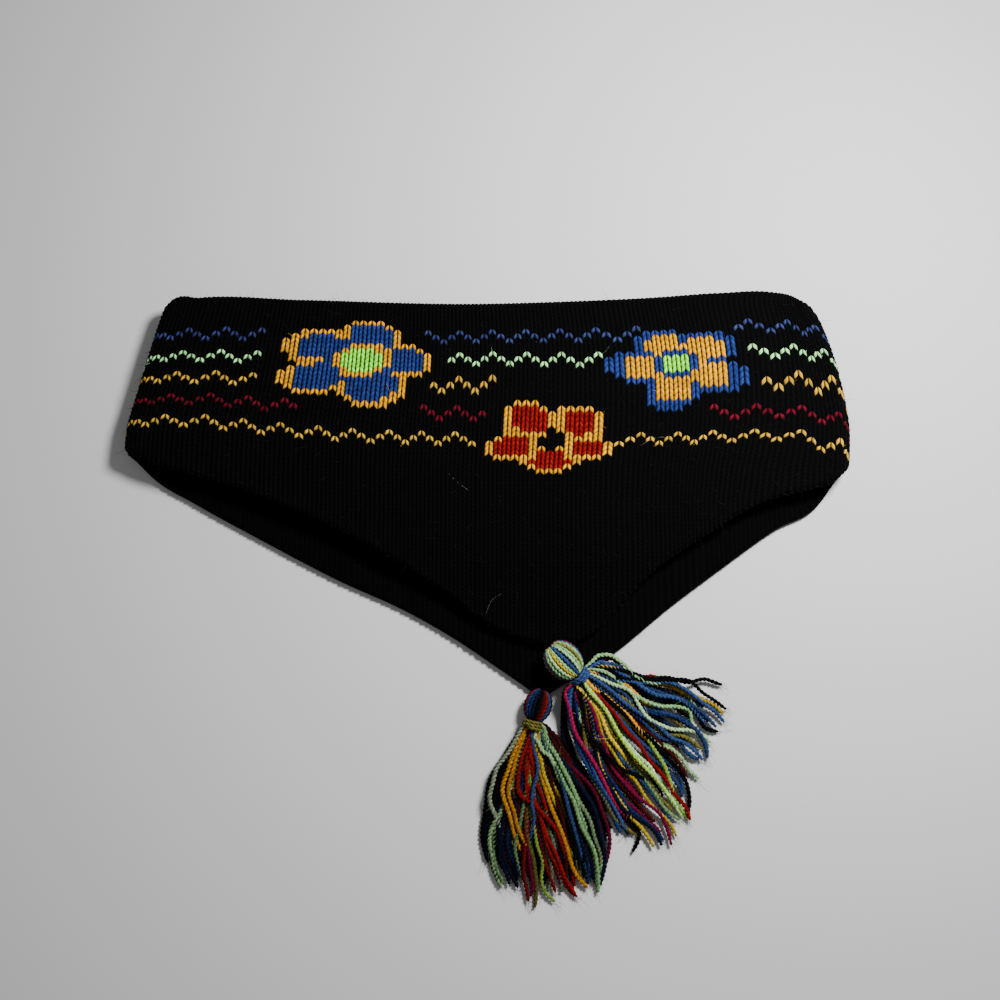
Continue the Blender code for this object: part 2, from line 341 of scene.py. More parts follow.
def row_depth(row, share):
    """Depth in metres below the upper edge, linear in the row and in the share of the width."""
    rows = np.array(list(ROW_DEPTHS_MM))
    lines = np.stack([np.interp(share, ROW_SHARES, depths) for depths in ROW_DEPTHS_MM.values()])
    place = np.clip(np.searchsorted(rows, row) - 1, 0, len(rows) - 2)
    upper = np.take_along_axis(lines, place[None], axis=0)[0]
    lower = np.take_along_axis(lines, place[None] + 1, axis=0)[0]
    t = (row - rows[place]) / (rows[place + 1] - rows[place])
    return (upper + t * (lower - upper)) / 1000


print("rows at the middle:", np.round(row_depth(np.array([0.0, 26.0, 60.0]), np.full(3, 0.5)), 4))

# %% [markdown]
# ## The chart
#
# A knitter works the flowers from a chart on squared paper, one letter a stitch, and the three
# charts below are drawn the same way. The zigzag lines need no chart: the line drops a row at each
# wale for two wales and climbs back for two. The same chart runs on round the back.

# %% Charts
PLY_WALES = 80
CHART_ROWS = 96
BLUE_FLOWER = """
........GGGG......
.......GBBBBG.....
..GGGGGGBBBBBG....
.GGBBBGGBBBBBG....
GGBBBBBBBBBBBG....
GGBBBBBBGGGGBGGG..
GGBBBBBGLLLGGBBBG.
.GBBBBGLLLLLGBBBBG
.GGGGBGLLLLLGBBBBG
..GGBBGLLLLLGBBBBG
.GBBBBBGLLLGBBBBBG
GGBBBBBGGGGBBGGGG.
GGBBBBBBBBBBBBG...
GGBBBBBGBBBBBBG...
.GBBBBGGBBBBBBG...
..GGGG.GBBBBBGG...
........GBBBGG....
.........GGGG.....
"""
GOLD_FLOWER = """
....BBBB.......
...BBGGGBBBBB..
...BGGGGBGGGBB.
...BGGGGGGGGGB.
.BBBBGBBBGGGGB.
BBGGGBLLLBGGGB.
BBGGGBLLLBGBB..
BBGGGBLLLBGGGB.
.BGGGGBBBGGGGBB
..BBBGGGGGGGGBB
....BGGGGBGGGBB
....BGGGGBBBBB.
....BGGGGB.....
....BBBBB......
.....BBB.......
"""
RED_FLOWER = """
...GGG........
..GRRRG.GGGG..
..GRRRRGGRRRG.
..GRRRRGGRRRG.
..GRRRRGGRRRG.
..GGRRR.GRRRG.
..GGGGG..GRGG.
.GRRRG...GGGG.
GRRRRG...GRRRG
GRRRRGG.GGRRRG
GRRRRGRRRGRRRG
.GGGGGRRRGGGG.
....GRRRRRG...
.....GRRRG....
......GGG.....
"""

# Each flower with its first wale and first row, and each line with its yarn, top row and wales
FLOWERS = ((BLUE_FLOWER, 15, 4), (GOLD_FLOWER, 53, 7), (RED_FLOWER, 40, 20))
ZIGZAG = (0, 1, 2, 1)
ZIGZAG_LINES = (
    ("b", 6, ((-2, 12), (32, 56), (67, 78))),
    ("l", 11, ((-2, 12), (35, 52), (68, 78))),
    ("g", 16, ((-2, 12), (33, 40), (69, 78))),
    ("c", 21, ((-2, 17), (32, 39), (64, 78))),
    ("g", 26, ((-2, 38), (54, 78))),
)

chart = np.zeros((CHART_ROWS, PLY_WALES), dtype=np.int32)
for letter, top_row, runs in ZIGZAG_LINES:
    for first, last in runs:
        for wale in range(max(first, -1), last + 1):
            chart[top_row + ZIGZAG[wale % len(ZIGZAG)], wale + 1] = CODE[letter]
for drawing, first_wale, first_row in FLOWERS:
    for down, line in enumerate(drawing.split()):
        for along, letter in enumerate(line):
            if letter != ".":
                chart[first_row + down, first_wale + along + 1] = CODE[letter]
print("coloured stitches on a ply:", int((chart > 0).sum()))

# %% [markdown]
# ## A knitted skin
#
# A stitch shows as a small roof, two legs that rise to a peak on the wale's middle line. The mesh
# lines follow that roof: a row's height is its number plus 0.8 of a row times the distance from the
# wale's middle. So the border between two yarn colours is a chain of little peaks, as in the real
# knit, and not a staircase. Each leg is round across its width and dips where the next row begins.
# Rows are clipped at the lower edge, and there the skin runs on over the rim.

# %% Skin of a ply
LEG_HEIGHT = 0.00080
LEG_BASE = -0.00060
UNDER_BASE = -0.00084
RIM_FADE = 0.0012
ROW_DIP = 0.4
FIRST_ROW = -3
LAST_ROW = CHART_ROWS - 8
TUCKED = 0.25
WALE_WIDTH_MM = 3.2
ROW_HEIGHT_MM = 1.7
STRAND_SLOPE = math.radians(63)

# Streaks start this much further along at each wale, so that neighbours differ
WALE_STREAK_STEP = 7.31

# Each stitch takes the dye a little lighter or darker. The table has a margin round the chart.
MARGIN_ROWS = 4
MARGIN_WALES = 2
stitch_dice = np.random.default_rng(5)
STITCH_TINT = stitch_dice.uniform(0.78, 1.16, (CHART_ROWS + 2 * MARGIN_ROWS, PLY_WALES + MARGIN_WALES))


def skin_points(edge, upper, outer, wale, row, slants=WALE_SLANT, base=LEG_BASE, plain=False):
    """Points of one face of one ply, and how deep in a groove each one lies.

    A point is the wall's middle plus half a wall out of it. The relief on that is the round of the
    leg times the dip between rows: sqrt(1 - t^2) (1 - dip s^4), where t is 1 at a leg's sides and s
    is 1 where rows meet. Plain leaves the relief out, which gives the cloth's own flat area.
    """
    inside = np.mod(wale + 0.5, 1.0)
    peaked = row + CHEVRON * np.abs(2 * inside - 1)
    share = wale_share(wale, peaked, slants)
    top = edge_height(UPPER_EDGE, share)
    bottom = edge_height(edge, share)
    length = top - bottom - 2 * RIM + 2 * QUARTER_RIM
    down = np.clip(row_depth(peaked, share) + QUARTER_RIM - RIM, 0, length)
    turn_top = np.clip(down / RIM, 0, math.pi / 2)
    turn_bottom = np.clip((length - down) / RIM, 0, math.pi / 2)
    turn = np.minimum(turn_top, turn_bottom)
    y = top - RIM - np.clip(down - QUARTER_RIM, 0, length - 2 * QUARTER_RIM)
    lean = np.where(turn_top < turn_bottom, 1.0, -1.0) * np.cos(turn)

    fold = fold_turn(wale)
    x = across(y, share)
    z = wall_middle_z(x, y, FOLD_RADIUS * np.sin(fold), upper)
    out_x = np.where(wale < MIDDLE_WALE, -1.0, 1.0) * np.cos(fold)
    out_z = np.sin(fold) * (1 if upper else -1)
    face = 1.0 if outer else -1.0

    leg = np.abs(2 * np.mod(2 * inside, 1.0) - 1)
    between = np.abs(2 * np.mod(row, 1.0) - 1)
    crest = np.sqrt(1 - leg**2) * (1 - ROW_DIP * between**4)
    relief = (base + LEG_HEIGHT * crest) * np.clip(np.minimum(down, length - down) / RIM_FADE, 0, 1)
    reach = WALL / 2 + (0 if plain else relief)
    flat_reach = face * reach * np.sin(turn)
    points = np.stack([x + flat_reach * out_x, y + reach * lean, z + flat_reach * out_z], axis=-1)
    return points, 1 - crest


def dye_at(row, wale):
    """Chart letter's number at a row and wale; above and below the chart the knit is plain black."""
    letter = chart[np.clip(row, 0, CHART_ROWS - 1), np.clip(wale + 1, 0, PLY_WALES - 1)]
    return np.where((row >= 0) & (row < CHART_ROWS), letter, 0)


def knit_skin(name, edge, upper, outer, columns, steps, wales=(FIRST_WALE, LAST_WALE), **more):
    """One face of one ply as a mesh: columns points a wale, and steps points a row.

    The pattern is on the outer faces. A stitch's top quarter is tucked under the row above, so it
    stays black there unless that row is coloured too. The UV map runs along the strand, in mm.
    """
    wale = np.linspace(*wales, int(round((wales[1] - wales[0]) * columns)) + 1)
    row = np.arange(FIRST_ROW, LAST_ROW, 1 / steps)
    row, wale = np.meshgrid(row, wale, indexing="ij")
    points, hollow = skin_points(edge, upper, outer, wale, row, **more)
    triangles = grid_triangles(points)
    cell_row = np.repeat(np.floor(row[:-1, :-1] + 0.5 / steps).astype(int).ravel(), 2)
    cell_wale = np.repeat(np.floor(wale[:-1, :-1] + 0.5 / columns + 0.5).astype(int).ravel(), 2)
    if upper != outer:
        triangles = triangles[:, ::-1]
    beside = np.abs(2 * np.mod(wale + 0.5, 1.0) - 1).ravel()
    corner_x = beside * WALE_WIDTH_MM / 2
    corner_y = (row.ravel() + CHEVRON * beside) * ROW_HEIGHT_MM
    sine, cosine = math.sin(STRAND_SLOPE), math.cos(STRAND_SLOPE)
    uv = [corner_x * sine - corner_y * cosine, corner_x * cosine + corner_y * sine]
    uv = np.stack(uv, axis=-1)[triangles]
    uv[:, :, 1] += (cell_wale * WALE_STREAK_STEP)[:, None]
    codes = np.zeros(len(triangles), dtype=int)
    if outer:
        cell_top = np.repeat(np.mod(row[:-1, :-1] + 0.5 / steps, 1.0).ravel(), 2) < TUCKED
        codes = dye_at(cell_row, cell_wale)
        codes = np.where(cell_top & (dye_at(cell_row - 1, cell_wale) == 0), 0, codes)
    colours = PALETTE[codes] * STITCH_TINT[cell_row + MARGIN_ROWS, cell_wale + MARGIN_WALES][:, None]
    flat_points = points.reshape(-1, 3)
    skin = mesh_object(name, flat_points, triangles, colours, "knit_band", uv, hollow.ravel())
    return skin


# The lower ply's inner face shows in the flap, where its wales lean more than the front's
LINING_SLANT = ((1.4, 0.0), (20, -2.5), (36, 0.0), (56, 6.0), (68, 6.0), (75.6, 0.0))
LEFT_HALF, RIGHT_HALF = (FIRST_WALE, MIDDLE_WALE), (MIDDLE_WALE, LAST_WALE)
FRONT = {"edge": NEAR_EDGE, "upper": True, "outer": True, "columns": 8, "steps": 4}
UPPER_LINING = {"edge": NEAR_EDGE, "upper": True, "outer": False, "columns": 4, "steps": 1}
LOWER = {"edge": FAR_EDGE, "upper": False, "columns": 4, "steps": 2}
skins = [
    knit_skin("upper_ply_left_knit", wales=LEFT_HALF, **FRONT),
    knit_skin("upper_ply_right_knit", wales=RIGHT_HALF, **FRONT),
    knit_skin("upper_ply_lining_knit", **UPPER_LINING),
    knit_skin("lower_ply_lining_knit", outer=False, slants=LINING_SLANT, **LOWER),
    knit_skin("lower_ply_outer_knit", outer=True, base=UNDER_BASE, **LOWER),
]
knit_pieces = [skin[0] for skin in skins]

# %% [markdown]
# ## Twisted yarn
#
# Hand-knitting wool is two plies twisted round each other, and in a tassel each strand shows it.
# A strand is a path with an upward direction at each point. Each ply is a tube whose middle runs
# round that path once in every few millimetres. All strands of a tassel are worked out at once.

# %% Strands
YARN_RADIUS = 0.00086
TWIST_PITCH = 0.0029
PLY_SIDES = 5
PLY_SWING = 0.38
PLY_THICKNESS = 0.64
STRAND_POINTS = 96
HEAD_POINTS = 44


def path_frame(paths, upward):
    """Side and up across each path, so that side = upward x tangent and up = tangent x side."""
    step = np.gradient(paths, axis=1)
    tangent = step / np.maximum(np.linalg.norm(step, axis=-1, keepdims=True), 1e-12)
    side = np.cross(upward, tangent)
    side /= np.maximum(np.linalg.norm(side, axis=-1, keepdims=True), 1e-9)
    return side, np.cross(tangent, side)


def round_tubes(paths, radii, side, up, sides):
    """Rings of a tube round each path: path + r cos(a) side + r sin(a) up."""
    around = np.linspace(0, 2 * math.pi, sides, endpoint=False)
    ring = np.cos(around)[:, None] * side[:, :, None] + np.sin(around)[:, None] * up[:, :, None]
    return paths[:, :, None] + radii[:, :, None, None] * ring


def twisted_strands(paths, radii, upward, phase, pitch=TWIST_PITCH):
    """Two tubes round each path (strands, points, 3). A ply's middle is the path plus 0.38 r at the
    angle 2 pi s / pitch + phase, the other ply's half a turn on, and each tube's radius is 0.64 r."""
    side, up = path_frame(paths, upward)
    run = np.cumsum(np.linalg.norm(np.diff(paths, axis=1, prepend=paths[:, :1]), axis=-1), axis=1)
    tubes = []
    for half_turn in (0, math.pi):
        angle = 2 * math.pi * run / pitch + phase[:, None] + half_turn
        swing = PLY_SWING * radii
        middle = paths + (swing * np.cos(angle))[..., None] * side
        middle = middle + (swing * np.sin(angle))[..., None] * up
        tubes.append(round_tubes(middle, PLY_THICKNESS * radii, side, up, PLY_SIDES))
    return np.concatenate(tubes)


def tube_mesh(tubes):
    """Points, triangles and triangles a tube, for tubes (tubes, points, sides, 3) with end poles."""
    first = tubes[:, :1].mean(axis=2, keepdims=True).repeat(tubes.shape[2], axis=2)
    last = tubes[:, -1:].mean(axis=2, keepdims=True).repeat(tubes.shape[2], axis=2)
    closed = np.concatenate([first, tubes, last], axis=1)
    count, rings, sides = closed.shape[:3]
    triangles = grid_triangles(closed[0], ring=True)
    offset = np.arange(count)[:, None, None] * rings * sides
    return closed.reshape(-1, 3), (triangles[None] + offset).reshape(-1, 3), len(triangles)


# %% [markdown]
# ## Laying strands where they are seen
#
# A tassel's outer strands can be followed one by one, like drawing over tracing paper. So each
# one is written as a few places in the 1000 by 1000 picture, and a line of sight through each
# place is cut at the height at which that strand lies. The strands underneath, which hardly show,
# are spread evenly between the tassel's two sides. All of them start at the neck.

# %% From the picture to the table
IMAGE_SIZE = 1000
PICTURE_REACH = IMAGE_SIZE * lens.lens / lens.sensor_width
EYE = np.array(camera.location)
SIGHT = np.array([0.0, math.cos(CAMERA_RISE), -math.sin(CAMERA_RISE)])
SIGHT_UP = np.array([0.0, math.sin(CAMERA_RISE), math.cos(CAMERA_RISE)])
SIGHT_RIGHT = np.array([1.0, 0.0, 0.0])


def seen_at(places, height):
    """Where the sight lines through picture places (n, 2) meet the heights (n)."""
    right = (places[:, :1] - IMAGE_SIZE / 2) / PICTURE_REACH
    up = (IMAGE_SIZE / 2 - places[:, 1:]) / PICTURE_REACH
    ray = SIGHT + right * SIGHT_RIGHT + up * SIGHT_UP
    return EYE + ray * ((height - EYE[2]) / ray[:, 2])[:, None]


TASSEL_DYES = {
    ".": "#050608", "B": "#1b2f5e", "b": "#2c4370", "n": "#0c1530", "G": "#cc8a1c", "Y": "#ccae2a",
    "L": "#a4cc50", "l": "#84b074", "p": "#aacf94", "R": "#8e1412", "r": "#520e0c", "c": "#7c0c38",
    "w": "#8e9a80", "o": "#7a7434", "S": "#981712",
}
DYE = {letter: linear(colour) for letter, colour in TASSEL_DYES.items()}


def read_strands(chart):
    """Dye letter, layer and places of each strand, from a line such as: l 2 590,667 598,657."""
    rows = [line.split(maxsplit=2) for line in chart.strip().splitlines()]
    return [(dye, int(layer), read_places(places)) for dye, layer, places in rows]


# A line is a strand: its dye, the layer it lies in, and the places it passes after the neck. Below
# are the neck and the half sizes of the head in metres, the heading and pitch in degrees, the
# tassel's two sides in the picture, the dyes of the hidden strands and of those on the head, and a
# factor on all its colours, which on the far tassel is painted shade.
NEAR_STRANDS = """
l 2 590,667 598,657 609,655 622,662 640,680 656,683 671,679 682,690 697,707
r 1 593,671 601,662 610,659 620,667 631,678 643,692 656,700
R 1 606,666 625,671 640,676 652,677 662,680
. 2 610,668 640,676 672,679 690,682 705,680 722,684
b 2 593,669 602,663 613,668 626,676 641,687 656,694 671,697 686,704 705,722
b 1 592,674 605,668 620,675 635,688 651,697 668,700 684,704 698,714 708,722
b 1 594,670 612,664 630,674 648,688 664,694 684,700 700,712 716,727
. 2 640,679 670,680 690,682 702,692 715,700 726,709
Y 1 612,668 640,680 668,684 685,692 702,700 714,706 723,714
G 1 615,670 645,682 668,687 690,696 708,703
b 2 640,682 672,684 690,692 703,703 715,713 724,722
. 1 600,680 620,690 640,696 660,700 680,702 693,711 706,728 718,731
l 2 592,675 606,674 620,682 632,693 646,702 660,706 676,706 688,710 691,726
G 2 598,677 612,681 627,685 637,696 647,709 652,718
p 2 612,684 630,692 640,706 651,721 668,728 686,730 699,734 711,742
o 1 640,712 653,726 664,733 678,736 692,741 701,748
b 2 592,681 606,688 621,700 640,713 656,725 671,738 686,743 697,753 702,760
b 1 594,684 611,697 630,711 648,727 660,737 680,745 692,756 699,759
b 1 602,682 621,692 641,706 661,713 680,718 695,729 705,745 708,758
B 1 600,684 625,700 650,712 672,716 690,724 702,738 707,752
r 1 590,690 606,700 622,713 640,727 655,738 668,750 680,766 687,776
R 1 592,686 612,698 632,712 645,722 656,736 664,744
G 2 592,688 608,698 622,711 634,723 645,736 653,750 660,765
Y 2 596,692 612,706 626,720 638,730 648,744 656,758
p 1 640,730 660,744 672,750 680,758 689,770 699,778
L 1 600,706 617,722 632,726 644,734 654,748 663,764 669,781 675,797 684,814
l 1 640,732 657,742 669,747 677,758 681,772
b 1 645,745 662,759 672,768 681,781 683,795
b 1 642,748 660,765 672,776 680,789 681,797
. 1 660,750 679,770 687,788 690,804 686,818
R 1 665,780 676,795 685,808 690,820
Y 3 580,684 586,694 597,710 606,728 617,748 629,763 640,776
Y 2 588,687 601,702 611,721 622,741 633,758 641,770
L 3 590,690 604,708 616,730 629,748 641,763 653,777 665,791 676,806 683,815
p 2 594,694 608,714 623,740 635,752 648,766 660,784 671,799 680,813
b 2 587,694 598,716 606,735 618,753 628,768 640,784
. 3 590,735 600,748 612,759 624,771 640,776 655,784 662,796
Y 1 620,764 634,779 643,795 655,808 668,822 676,836
b 1 622,758 640,778 654,798 665,812 673,823
l 1 626,756 641,776 655,794 668,811 679,819
o 1 630,760 648,780 660,798 672,812
L 2 573,686 578,699 589,709 599,722 611,741 622,757 630,770
r 1 568,690 569,703 579,716 593,729 606,746 618,762
Y 1 575,690 584,706 598,722 610,744 620,752
R 1 574,688 583,703 596,717 607,733
c 3 568,692 570,713 575,730 583,746 593,763 606,785 616,805 629,822
B 2 569,700 575,738 583,756 592,775 603,795 612,813 621,832
b 2 570,704 578,740 587,757 597,777 607,795 616,813 626,830
n 1 573,702 583,725 595,748 606,770 617,791 632,815
n 1 576,700 588,722 600,745 612,768 622,790
l 2 580,706 589,723 597,738 606,748 611,756
p 2 578,710 586,729 594,743 600,752
o 1 584,730 592,751 602,765 610,780 618,796
o 1 590,770 604,800 613,815 623,825 634,835
. 1 610,790 630,820 639,832 637,841 632,851
Y 1 612,790 630,815 643,829 649,839 653,847
n 1 606,780 626,810 641,821 655,833 662,845
B 1 612,782 632,810 650,826 664,840
c 1 630,790 649,805 662,818 669,833 671,845
c 1 600,768 613,790 631,806 649,822 660,832
r 1 606,766 622,788 640,806 655,822
. 1 580,720 592,744 606,766 620,786 634,800
. 0 567,692 565,712 569,740 579,766 593,791 605,812
n 0 568,690 562,716 565,744 575,770 588,794 600,815
. 0 566,694 563,720 569,750 582,778 598,806 612,828
"""
NEAR_TASSEL = {
    "neck": (0.0313, -0.0309, 0.0084),
    "neck_place": (584, 678),
    "heading": -44.5,
    "pitch": -11.0,
    "head": (0.0072, 0.0060, 0.0045),
    "neck_radius": 0.0027,
    "strands": read_strands(NEAR_STRANDS),
    "sides": ("592,670 612,668 645,684 680,694 708,708", "570,694 574,730 592,768 610,806 630,836"),
    "fill": "bnr.Bob.Rcnr.lBn.obcR.nBr.",
    "head_colours": "RblolpblYplbRlrc.Rn.c.Bnr",
    "shade": 1.06,
}

FAR_STRANDS = """
w 2 526,730 514,744 503,759 494,776 490,796 494,815 502,831 514,846
G 2 527,732 519,750 511,775 509,796 515,818 523,840 530,857 535,870
G 2 524,736 509,765 503,788 507,810 514,832 521,850 527,862
G 1 528,740 517,770 514,795 519,817 525,838
G 1 522,742 510,770 507,800 512,825 520,848
r 2 530,738 524,762 518,781 519,797 526,812 530,830
R 2 530,733 530,748 532,764 534,777 530,792
b 3 529,731 534,750 537,770 534,788 532,803 533,820 531,838 534,858
b 1 528,733 532,756 534,780 530,806 528,830 532,850
l 3 536,727 546,741 557,758 567,775 574,794 581,812 587,830
l 2 534,729 541,745 552,761 562,783 571,800 580,817
p 3 533,730 539,745 549,757 558,770 565,786
l 2 538,728 551,745 562,762 571,780 578,798 584,815
Y 2 534,738 539,756 545,776 551,796 560,812 565,823
Y 1 545,765 555,789 562,804 567,817
G 2 533,736 538,760 546,788 552,800 560,815
r 1 538,740 544,760 553,776 557,788
R 2 532,760 536,784 543,800 552,818 562,833 567,840
R 1 531,770 539,790 547,806 556,822 565,838
S 2 529,790 536,806 543,828 551,855 562,878 575,896
S 2 530,800 541,820 550,842 559,864 569,884 576,897
S 1 532,810 545,835 553,858 562,880 570,893
S 2 518,780 521,796 535,806 549,820 559,838 569,862 575,886
c 1 520,790 532,812 544,834 552,860 560,884
S 1 528,805 536,830 544,856 550,880 556,892
G 2 548,800 558,822 565,845 571,862 579,878 587,888
o 1 552,810 566,842 574,860 580,880
b 2 558,770 566,795 570,815 575,835 582,856 587,872
b 1 560,776 569,800 576,822 583,846 588,866 588,884
n 1 564,790 574,815 582,840 590,862 594,882
l 2 570,794 580,821 589,841 596,860 599,878 597,892
p 1 574,790 586,814 595,836 600,856 601,872
l 1 572,800 583,826 592,850 597,874 596,886
n 2 575,778 589,800 598,821 603,845 604,866 601,885
B 1 572,776 586,798 596,822 601,848 600,872
c 1 580,776 596,795 604,816 609,844 607,864
r 1 540,727 549,731 560,744 572,768 585,790
p 1 510,790 492,830 489,846 493,861 497,878 500,887
l 1 508,796 494,834 493,852 497,868 503,884
n 1 512,800 500,838 505,859 511,875 517,888
n 1 514,806 506,842 510,862 517,880
B 1 516,810 508,836 512,858 520,876
n 1 510,780 498,812 499,840 503,866 509,884
l 1 520,826 514,848 518,866 524,880
n 0 541,727 557,742 572,762 588,786 600,812 606,840
. 0 539,728 553,741 567,758 582,780 596,806 603,834
. 0 543,729 560,741 576,760 591,782 603,808 607,832
. 0 520,738 503,757 489,785 484,812 483,840 487,862
. 0 521,740 506,762 492,790 488,818 488,846
n 0 520,742 501,765 489,795 485,830 486,858
. 1 521,738 508,758 497,785 495,815 502,842 510,866
. 1 523,742 512,765 500,790 498,820 504,850
L 1 536,840 542,860 541,878 546,892 554,902
w 1 542,838 550,858 551,877 548,891
o 1 530,850 535,870 537,886 535,900 534,907
R 1 524,850 524,872 527,890 528,901
c 1 528,846 531,868 532,886 530,896
n 1 536,846 540,866 546,884
w 1 556,860 560,878 561,892
"""
FAR_TASSEL = {
    "neck": (0.0151, -0.0468, 0.0048),
    "neck_place": (532, 725),
    "heading": -108.0,
    "pitch": 0.0,
    "head": (0.0058, 0.0047, 0.0036),
    "neck_radius": 0.0024,
    "strands": read_strands(FAR_STRANDS),
    "sides": ("524,732 504,758 490,796 489,845 498,880", "544,730 566,758 588,795 603,838 601,878"),
    "fill": "n..r.n.rR..n.o.n.r..n.B.nr",
    "head_colours": "r.bRr.nBbRrcwbB.nr.B",
    # Painted shade: the whole far tassel, its head and its tie are darkened by this factor
    "shade": 0.57,
}

print("strands traced:", len(NEAR_TASSEL["strands"]), "and", len(FAR_TASSEL["strands"]))

# %% [markdown]
# ## Tassels
#
# A layer number says how high a strand lies over the table where the skirt is fullest, and lower
# layers are painted darker, as shade under the strands above. Every strand comes down to the table
# at its end. Over the head the strands run lengthwise from the crown to the neck, and a black core
# inside, which stands for the hidden strands, closes the gaps between them with painted shade.

# %% Tassel strands
LAYER_HEIGHTS = (0.0016, 0.0034, 0.0050, 0.0062)
# Lower layers of a tassel are darker: painted shade where strands lie under the ones above
LAYER_PAINTED_SHADE = (0.34, 0.56, 0.92, 1.05)
SHADE_SPREAD = (0.82, 1.12)
THICKNESS_SPREAD = (0.86, 1.06)
END_TAPER = 0.35
OVER_TABLE = 1.08
HIDDEN_SIZE = (0.82, 1.04)
STRAND_INSET = YARN_RADIUS * 0.6
END_HEIGHT = 0.0011
HEIGHT_SPREAD = 0.0004
END_SPREAD = 0.0008
DOWN_TO_LAYER = 0.42
DOWN_TO_TABLE = 0.55
WAVE = 0.00028
WAVES = (2.0, 4.5)

# The head: the two plies' tints, its fullness, where its strands run from pole to pole, and shade
PLY_TINTS = (1.0, 0.80)
HEAD_FULLNESS = 0.85
HEAD_RUN = (0.08, 0.95)
HEAD_SHADE = 0.85
HEAD_THICKNESS = (0.72, 0.98)

# Inside the tie: how high each layer starts, how far back, for how long, and the neck's fullness
NECK_LAYERS = (-0.9, -0.35, 0.3, 0.9)
NECK_START = 0.0012
NECK_RUN = 0.22
NECK_SPREAD = 1.5
NECK_ROUNDNESS = 0.8
NECK_PIXELS = 2.5
NECK_THICKNESS = 0.55


def pointing(heading, pitch=0.0):
    """Unit vector from a heading in degrees from +X and a pitch above the table."""
    turn, tip = math.radians(heading), math.radians(pitch)
    return np.array([math.cos(turn) * math.cos(tip), math.sin(turn) * math.cos(tip), math.sin(tip)])


def neck_shift(tassel, layer, path):
    """Where in the bound neck a strand starts: back into the tie, out to the side it leaves for,
    and up by its layer, so that the bundle fills the tie."""
    axis, side, up = neck_frame(tassel)
    room = tassel["neck_radius"] - STRAND_INSET
    leaving = path[STRAND_POINTS // 4] - path[0]
    sideways = np.clip(NECK_SPREAD * (leaving @ side) / np.linalg.norm(leaving), -1, 1)
    upward = NECK_LAYERS[layer] * math.sqrt(1 - NECK_ROUNDNESS * sideways**2)
    return room * (sideways * side + upward * up) - NECK_START * axis


def strand_path(tassel, layer, places, dice):
    """A smooth path from the neck through the given places, at the height of its layer.

    Its height eases from the neck's to the layer's and then to the table's. A slight wave to the
    sides is added, and the strand is thinner in the neck and at its cut end.
    """
    lead = np.array([tassel["neck_place"], *places], dtype=float)
    lead[0] += dice.uniform(-NECK_PIXELS, NECK_PIXELS, 2)
    steps = np.linalg.norm(np.diff(lead, axis=0), axis=1)
    share = np.concatenate([[0], np.cumsum(steps)]) / steps.sum()
    rest = LAYER_HEIGHTS[layer] + dice.uniform(-HEIGHT_SPREAD, HEIGHT_SPREAD)
    high = rest + (tassel["neck"][2] - rest) * (1 - smooth_step(share, 0.0, DOWN_TO_LAYER))
    low = END_HEIGHT + dice.uniform(0, END_SPREAD)
    height = high + (low - high) * smooth_step(share, DOWN_TO_TABLE, 1.0)
    spots = seen_at(lead, height)
    at = np.linspace(0, 1, STRAND_POINTS)
    path = np.stack([smooth_line(np.stack([share, spot], axis=1), at) for spot in spots.T], axis=1)
    side = np.cross(np.gradient(path, axis=0), [0.0, 0.0, 1.0])
    side /= np.linalg.norm(side, axis=1, keepdims=True)
    beat = dice.uniform(*WAVES)
    wave = WAVE * np.sin(2 * math.pi * beat * at + dice.uniform(0, 6.3)) * smooth_step(at, 0.05, 0.4)
    path += side * wave[:, None]
    path += neck_shift(tassel, layer, path) * (1 - smooth_step(at, 0.0, NECK_RUN))[:, None]
    fullness = NECK_THICKNESS + (1 - NECK_THICKNESS) * smooth_step(at, 0.0, 0.14)
    thick = YARN_RADIUS * dice.uniform(*THICKNESS_SPREAD) * fullness
    thick *= 1 - END_TAPER * smooth_step(at, 0.96, 1.0)
    path[:, 2] = np.maximum(path[:, 2], thick * OVER_TABLE)
    return path, thick


def skirt_strands(tassel, dice):
    """Paths, radii, colours with painted shade, and layers: traced strands and ones spread between the
    sides.
    """
    laid = list(tassel["strands"])
    first, second = (read_places(side) for side in tassel["sides"])
    for number, letter in enumerate(tassel["fill"]):
        share = (number + dice.uniform(-0.4, 0.4)) / (len(tassel["fill"]) - 1)
        places = first + min(max(share, 0.0), 1.0) * (second - first)
        middle = places.mean(axis=0)
        places = middle + (places - middle) * dice.uniform(*HIDDEN_SIZE)
        laid.append((letter, number % 2, places))
    made = [strand_path(tassel, layer, places, dice) for _, layer, places in laid]
    layers = np.array([layer for _, layer, _ in laid])
    # Painted shade by layer, and for the far tassel as a whole, times a random tone for each strand
    shade = np.array(LAYER_PAINTED_SHADE)[layers] * tassel["shade"] * dice.uniform(*SHADE_SPREAD, len(laid))
    paths, radii = (np.array(parts) for parts in zip(*made))
    return paths, radii, np.array([DYE[letter] for letter, _, _ in laid]) * shade[:, None], layers


def neck_frame(tassel):
    """Along the head, level across it, and up from it."""
    axis = pointing(tassel["heading"], tassel["pitch"])
    side = np.cross([0.0, 0.0, 1.0], axis)
    side /= np.linalg.norm(side)
    return axis, side, np.cross(axis, side)


def head_points(tassel, inset, down, around):
    """Head less an inset: middle - a cos(down) along, and b sin(down)^0.85 round it."""
    axis, side, up = neck_frame(tassel)
    length, width, height = np.array(tassel["head"]) - inset
    middle = np.array(tassel["neck"]) - axis * (tassel["head"][0] + YARN_RADIUS)
    pull = np.sin(down) ** HEAD_FULLNESS
    return (
        middle
        + (-length * np.cos(down) + 0 * around)[..., None] * axis
        + (width * pull * np.cos(around))[..., None] * side
        + (height * pull * np.sin(around))[..., None] * up
    ), middle


